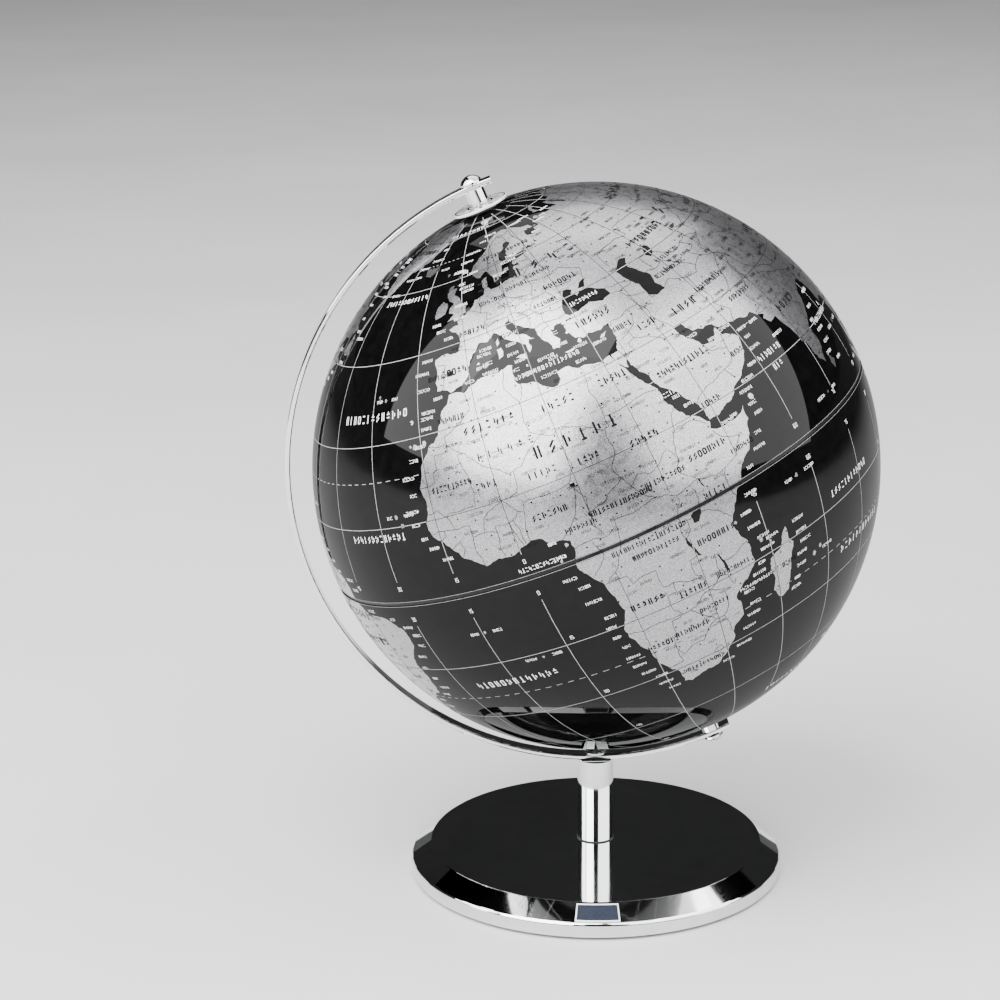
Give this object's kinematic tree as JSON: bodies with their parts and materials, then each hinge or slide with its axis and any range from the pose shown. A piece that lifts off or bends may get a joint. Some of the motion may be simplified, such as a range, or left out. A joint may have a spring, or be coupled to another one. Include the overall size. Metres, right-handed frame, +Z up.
{
  "type": "desktop globe on stand",
  "caption": "Desktop globe: a hollow ball with a world map turns on a tilted axis held by a curved metal arm on a round post and a weighted disc base.",
  "frame": {"origin": "on the post's axis, on the flat face that the base rests on", "axes": "+Z up along the post; the arm lies in the XZ plane, bulges towards -X and leans the north pole to -X; -Y is the front"},
  "size_m": [0.2097, 0.2, 0.2558],
  "materials": {
    "chrome": "mirror chrome plate",
    "dial_metal": "polished, printed hour marks",
    "plate_metal": "satin plate with a bright border",
    "screw_steel": "plain zinc-plated steel",
    "weight_iron": "black painted casting",
    "pad_rubber": "matt foam rubber",
    "globe_shell": "high gloss lacquer over a black and silver printed map",
    "ring_plastic": "gloss black",
    "bush_plastic": "natural nylon"
  },
  "bodies": {
    "stand": {"base_cover": "chrome", "base_weight": "weight_iron", "base_pad": "pad_rubber", "base_bolt": "screw_steel", "base_washer": "screw_steel", "name_plate": "plate_metal", "post": "chrome", "arm": "chrome", "arm_screw": "screw_steel", "north_pin": "screw_steel", "south_pin": "screw_steel", "north_cap_nut": "chrome", "south_cap_nut": "chrome", "north_spacer": "chrome", "south_spacer": "chrome", "north_washer": "bush_plastic", "south_washer": "bush_plastic"},
    "globe": {"north_hemisphere": "globe_shell", "south_hemisphere": "globe_shell", "equator_ring": "ring_plastic", "north_bush": "bush_plastic", "south_bush": "bush_plastic", "north_push_nut": "screw_steel", "south_push_nut": "screw_steel"},
    "dial": {"hour_dial": "dial_metal"}
  },
  "joints": [
    {"name": "globe_spin", "type": "hinge", "parent": "stand", "child": "globe", "pos_m": [0, 0, 0.1517], "axis": [-0.3907, 0, 0.9205], "continuous": true},
    {"name": "dial_turn", "type": "hinge", "parent": "stand", "child": "dial", "pos_m": [0, 0, 0.1517], "axis": [-0.3907, 0, 0.9205], "continuous": true}
  ]
}
